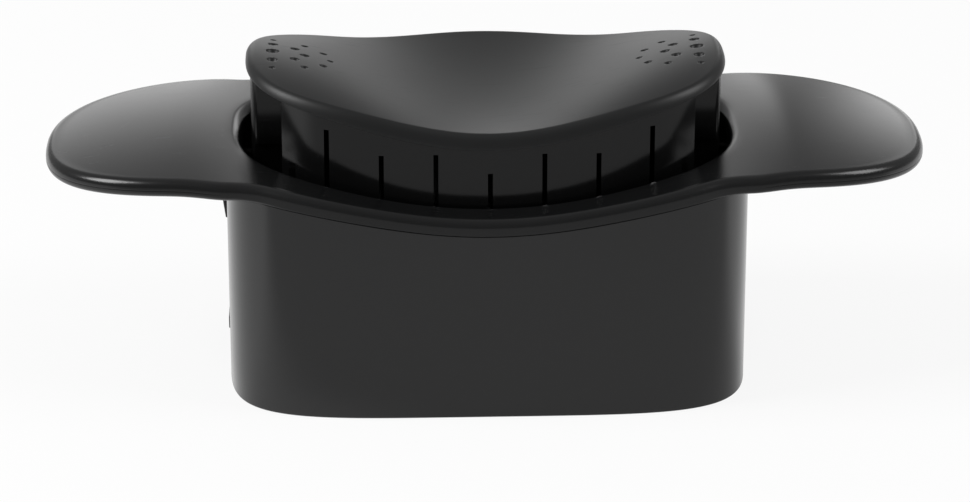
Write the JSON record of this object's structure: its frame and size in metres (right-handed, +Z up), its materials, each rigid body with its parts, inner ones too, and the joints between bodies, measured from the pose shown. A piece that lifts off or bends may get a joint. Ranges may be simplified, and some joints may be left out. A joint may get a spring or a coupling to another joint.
{
  "type": "potato cutter",
  "caption": "Hand potato cutter: an oval body with wing handles and a steel blade lattice in its lower end, and a slotted pusher under a saddle cap that drives the chips through.",
  "frame": {"origin": "middle of the lower rim, on the surface that the cutter stands on", "axes": "+X along the handles, +Y to the back, +Z up along the pusher's stroke"},
  "size_m": [0.1996, 0.0828, 0.0733],
  "materials": {
    "satin_plastic": "satin moulded black",
    "body_plastic": "satin moulded black, smoother and darker",
    "frame_plastic": "fine matt moulded black",
    "blade_steel": "ground stainless strip"
  },
  "bodies": {
    "cutter_body": {"handle_frame": "satin_plastic", "skirt": "body_plastic", "blade_frame_lower": "frame_plastic", "blade_frame_upper": "frame_plastic", "cross_blade_1": "blade_steel", "cross_blade_2": "blade_steel", "cross_blade_3": "blade_steel", "cross_blade_4": "blade_steel", "cross_blade_5": "blade_steel", "cross_blade_6": "blade_steel", "cross_blade_7": "blade_steel", "long_blade_1": "blade_steel", "long_blade_2": "blade_steel", "long_blade_3": "blade_steel", "long_blade_4": "blade_steel", "long_blade_5": "blade_steel"},
    "pusher": {"pusher_block": "body_plastic", "pusher_cap": "satin_plastic"}
  },
  "joints": [
    {"name": "pusher_slide", "type": "slide", "parent": "cutter_body", "child": "pusher", "axis": [0, 0, 1], "range_m": [-0.018, 0.025]}
  ]
}
